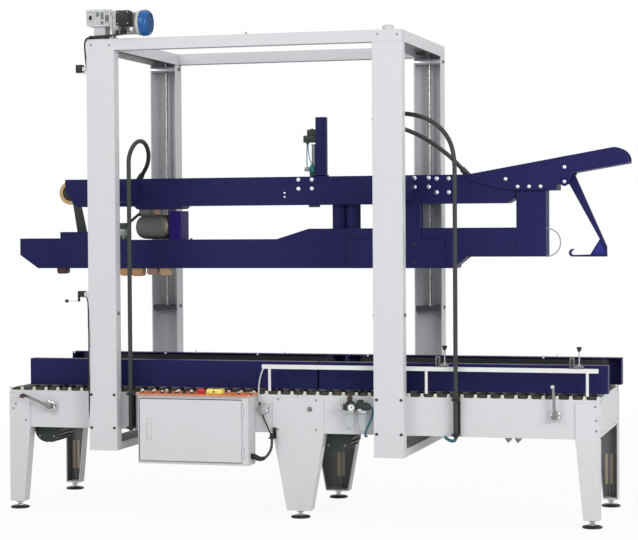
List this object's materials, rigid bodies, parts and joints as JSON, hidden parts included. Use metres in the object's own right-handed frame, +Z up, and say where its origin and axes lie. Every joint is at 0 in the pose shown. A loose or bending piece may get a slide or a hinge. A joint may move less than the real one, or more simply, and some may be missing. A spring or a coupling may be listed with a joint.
{
  "type": "carton_sealer",
  "caption": "Carton sealer: a roller bed with adjustable side belts and cranks, and a tape head that a motor lifts between four columns, with a control box and a guard rail",
  "frame": {"origin": "on the floor under the front middle foot", "axes": "+X towards the entry end, along the bed; +Y to the rear; +Z up"},
  "size_m": [3.161, 1.0565, 2.491],
  "materials": {
    "machine_grey": "satin",
    "navy_paint": "satin",
    "blue_paint": "satin",
    "orange_paint": "satin",
    "zinc_steel": "satin",
    "bright_steel": "satin",
    "black_steel": "satin",
    "grey_cast": "matte",
    "black_plastic": "matte",
    "blue_plastic": "satin",
    "yellow_plastic": "satin",
    "white_plastic": "satin",
    "black_rubber": "matte",
    "brown_rubber": "matte",
    "tan_tape": "gloss"
  },
  "bodies": {
    "frame": {"air_unit": "black_plastic", "base_channels": "machine_grey", "bed_end_plates": "machine_grey", "bed_rollers": "zinc_steel", "bed_side_plates": "machine_grey", "box_conduit": "black_rubber", "column_packers": "machine_grey", "columns": "machine_grey", "control_box": "machine_grey", "control_panel": "orange_paint", "crank_hubs": "bright_steel", "drive_motors": "navy_paint", "emergency_stop": "yellow_plastic", "guard_rail": "white_plastic", "hose_clamps": "black_steel", "hose_left": "black_rubber", "hose_right": "black_rubber", "legs": "machine_grey", "levelling_feet": "black_plastic", "lift_chain": "black_steel", "lift_gearbox": "grey_cast", "lift_motor": "navy_paint", "lift_screws": "bright_steel", "limit_switches": "black_plastic", "motor_cowl": "blue_plastic", "rail_clamps": "bright_steel", "screw_blocks": "black_steel", "screw_covers": "black_plastic", "terminal_box": "black_plastic", "top_beams_cross": "machine_grey", "top_beams_long": "machine_grey", "width_rods": "bright_steel"},
    "head": {"upper_beam": "navy_paint", "lower_beam": "navy_paint", "press_rollers": "brown_rubber", "beam_posts": "navy_paint", "end_box_plate": "navy_paint", "head_arms": "navy_paint", "front_bracket": "navy_paint", "entry_arm": "navy_paint", "flap_arm": "blue_paint", "wire_guard": "bright_steel", "head_motor": "grey_cast", "head_gearbox": "blue_paint", "tape_roll": "tan_tape", "tape_arm": "black_steel", "cylinder_post": "navy_paint", "air_cylinder": "bright_steel", "hose_fittings": "black_plastic"},
    "door": {"control_box_door": "machine_grey"},
    "left_crank": {"crank_left": "bright_steel"},
    "right_crank": {"crank_right": "bright_steel"},
    "front_left_belt": {"board_front_left": "navy_paint", "belt_front_left": "black_rubber"},
    "front_right_belt": {"board_front_right": "navy_paint", "belt_front_right": "black_rubber"},
    "rear_left_belt": {"board_rear_left": "navy_paint", "belt_rear_left": "black_rubber"},
    "rear_right_belt": {"board_rear_right": "navy_paint", "belt_rear_right": "black_rubber"}
  },
  "joints": [
    {"name": "head_lift", "type": "slide", "parent": "frame", "child": "head", "axis": [0, 0, 1], "range_m": [-0.4, 0.59], "deforming": ["hose_left", "hose_right"]},
    {"name": "door_hinge", "type": "hinge", "parent": "frame", "child": "door", "pos_m": [-0.245, -0.156, 0.43], "axis": [0, 0, 1], "range_deg": [0, 110]},
    {"name": "left_width", "type": "slide", "parent": "frame", "child": "front_left_belt", "axis": [0, 1, 0], "range_m": [-0.06, 0.15]},
    {"name": "left_width_rear", "type": "slide", "parent": "frame", "child": "rear_left_belt", "axis": [0, -1, 0], "range_m": [-0.061, 0.151]},
    {"name": "right_width", "type": "slide", "parent": "frame", "child": "front_right_belt", "axis": [0, 1, 0], "range_m": [-0.06, 0.15]},
    {"name": "right_width_rear", "type": "slide", "parent": "frame", "child": "rear_right_belt", "axis": [0, -1, 0], "range_m": [-0.061, 0.151]},
    {"name": "left_crank_turn", "type": "hinge", "parent": "frame", "child": "left_crank", "pos_m": [-1.29, -0.064, 0.524], "axis": [0, 1, 0], "range_deg": [-433, 1081]},
    {"name": "right_crank_turn", "type": "hinge", "parent": "frame", "child": "right_crank", "pos_m": [1.252, -0.064, 0.524], "axis": [0, 1, 0], "range_deg": [-433, 1081]}
  ],
  "couplings": [
    {"joint": "left_width_rear", "follows": "left_width", "ratio": 1},
    {"joint": "right_width_rear", "follows": "right_width", "ratio": 1},
    {"joint": "left_crank_turn", "follows": "left_width", "rad_per_m": 125.66},
    {"joint": "right_crank_turn", "follows": "right_width", "rad_per_m": 125.66}
  ]
}
